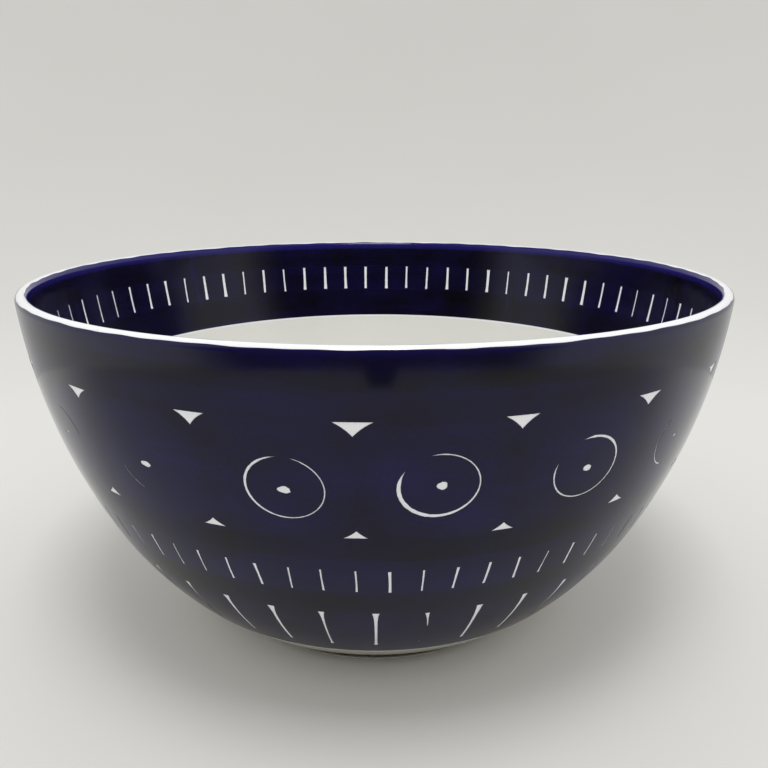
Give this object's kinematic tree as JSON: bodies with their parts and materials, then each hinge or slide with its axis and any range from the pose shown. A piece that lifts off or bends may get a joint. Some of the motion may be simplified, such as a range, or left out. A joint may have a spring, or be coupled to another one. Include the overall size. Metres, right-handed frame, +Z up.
{
  "type": "punch bowl",
  "caption": "Large round footed ceramic bowl for punch, white inside, with hand-painted cobalt bands of rings, triangles and ticks.",
  "frame": {"origin": "centre of the foot ring, on the surface the bowl stands on", "axes": "+Z up along the axis the bowl is turned about; -Y is the side shown to the viewer; +X to the viewer's right"},
  "size_m": [0.3299, 0.33, 0.171],
  "materials": {
    "clay": "bare fired earthenware, matt, seen only on the foot ring",
    "white_glaze": "smooth glossy milk-white glaze",
    "cobalt_paint": "glossy deep cobalt, brushed on by hand, slightly mottled"
  },
  "bodies": {
    "root": {"clay_body": "clay", "white_glaze": "white_glaze", "base_glaze": "white_glaze", "outer_lip_band": "cobalt_paint", "disc_band": "cobalt_paint", "short_tick_band": "cobalt_paint", "long_tick_band": "cobalt_paint", "inner_lip_band": "cobalt_paint", "inner_tick_band": "cobalt_paint", "inner_lower_band": "cobalt_paint"}
  },
  "joints": []
}
